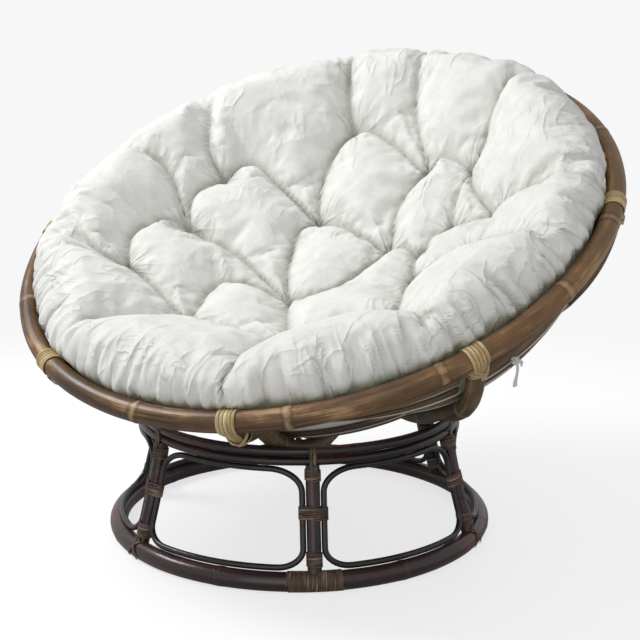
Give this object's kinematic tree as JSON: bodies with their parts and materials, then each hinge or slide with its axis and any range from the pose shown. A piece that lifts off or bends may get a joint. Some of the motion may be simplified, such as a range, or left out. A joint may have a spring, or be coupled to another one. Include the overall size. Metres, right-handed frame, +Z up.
{
  "type": "papasan chair",
  "caption": "Deep round bowl of cane poles and bands, lying tilted on a flared open cane stand, filled by a thick dished cushion with sewn tufts.",
  "frame": {"origin": "on the floor, under the middle of the chair's outline as seen from above", "axes": "+Z up; -Y is the front, where the bowl's rim is low and the sitter's legs hang; +X is the sitter's left"},
  "size_m": [1.0489, 0.9373, 0.8044],
  "materials": {
    "lacquered_cane": "dark lacquer over cane poles, satin, red-brown where it has worn",
    "lacquered_thin_cane": "dark lacquer over thin cane, satin",
    "dark_peel": "split cane peel, brown and matt, dulled by lacquer",
    "rim_cane": "thick cane pole, brown and mottled, with paler node bands",
    "rib_cane": "cane pole, greyish brown, satin",
    "split_cane": "flat split cane, light brown and matt",
    "pale_peel": "split cane peel, pale straw colour, satin",
    "cotton": "off-white woven cotton over soft fill, matt"
  },
  "bodies": {
    "stand": {"floor_ring": "lacquered_cane", "seat_ring": "lacquered_cane", "under_ring": "lacquered_cane", "upright_1": "lacquered_cane", "upright_2": "lacquered_cane", "upright_3": "lacquered_cane", "upright_4": "lacquered_cane", "upright_5": "lacquered_cane", "upright_6": "lacquered_cane", "panel_loop_1": "lacquered_thin_cane", "panel_loop_2": "lacquered_thin_cane", "panel_loop_3": "lacquered_thin_cane", "panel_loop_4": "lacquered_thin_cane", "panel_loop_5": "lacquered_thin_cane", "panel_loop_6": "lacquered_thin_cane", "foot_lashing_1": "dark_peel", "foot_lashing_2": "dark_peel", "foot_lashing_3": "dark_peel", "foot_lashing_4": "dark_peel", "foot_lashing_5": "dark_peel", "foot_lashing_6": "dark_peel", "waist_lashing_1": "dark_peel", "waist_lashing_2": "dark_peel", "waist_lashing_3": "dark_peel", "waist_lashing_4": "dark_peel", "waist_lashing_5": "dark_peel", "waist_lashing_6": "dark_peel", "head_lashing_1": "dark_peel", "head_lashing_2": "dark_peel", "head_lashing_3": "dark_peel", "head_lashing_4": "dark_peel", "head_lashing_5": "dark_peel", "head_lashing_6": "dark_peel", "splice_lashing": "dark_peel"},
    "bowl": {"rim": "rim_cane", "bottom_ring": "rib_cane", "rib_1": "rib_cane", "rib_2": "rib_cane", "rib_3": "rib_cane", "rib_4": "rib_cane", "rib_5": "rib_cane", "rib_6": "rib_cane", "rib_7": "rib_cane", "rib_8": "rib_cane", "rib_lashing_1": "pale_peel", "rib_lashing_2": "pale_peel", "rib_lashing_3": "pale_peel", "rib_lashing_4": "pale_peel", "rib_lashing_5": "pale_peel", "rib_lashing_6": "pale_peel", "rib_lashing_7": "pale_peel", "rib_lashing_8": "pale_peel", "band_1": "split_cane", "band_2": "split_cane", "band_3": "split_cane", "band_4": "split_cane", "band_5": "split_cane", "band_6": "split_cane", "cushion_tie": "cotton"},
    "cushion": {"cushion": "cotton"}
  },
  "joints": [
    {"name": "bowl_tilt", "type": "hinge", "parent": "stand", "child": "bowl", "pos_m": [0, -0.05096, 0.62133], "axis": [1, 0, 0], "range_deg": [-27.6, 4.4]},
    {"name": "cushion_lift", "type": "slide", "parent": "bowl", "child": "cushion", "axis": [0, -0.4633, 0.8862], "range_m": [0, 0.45]}
  ]
}
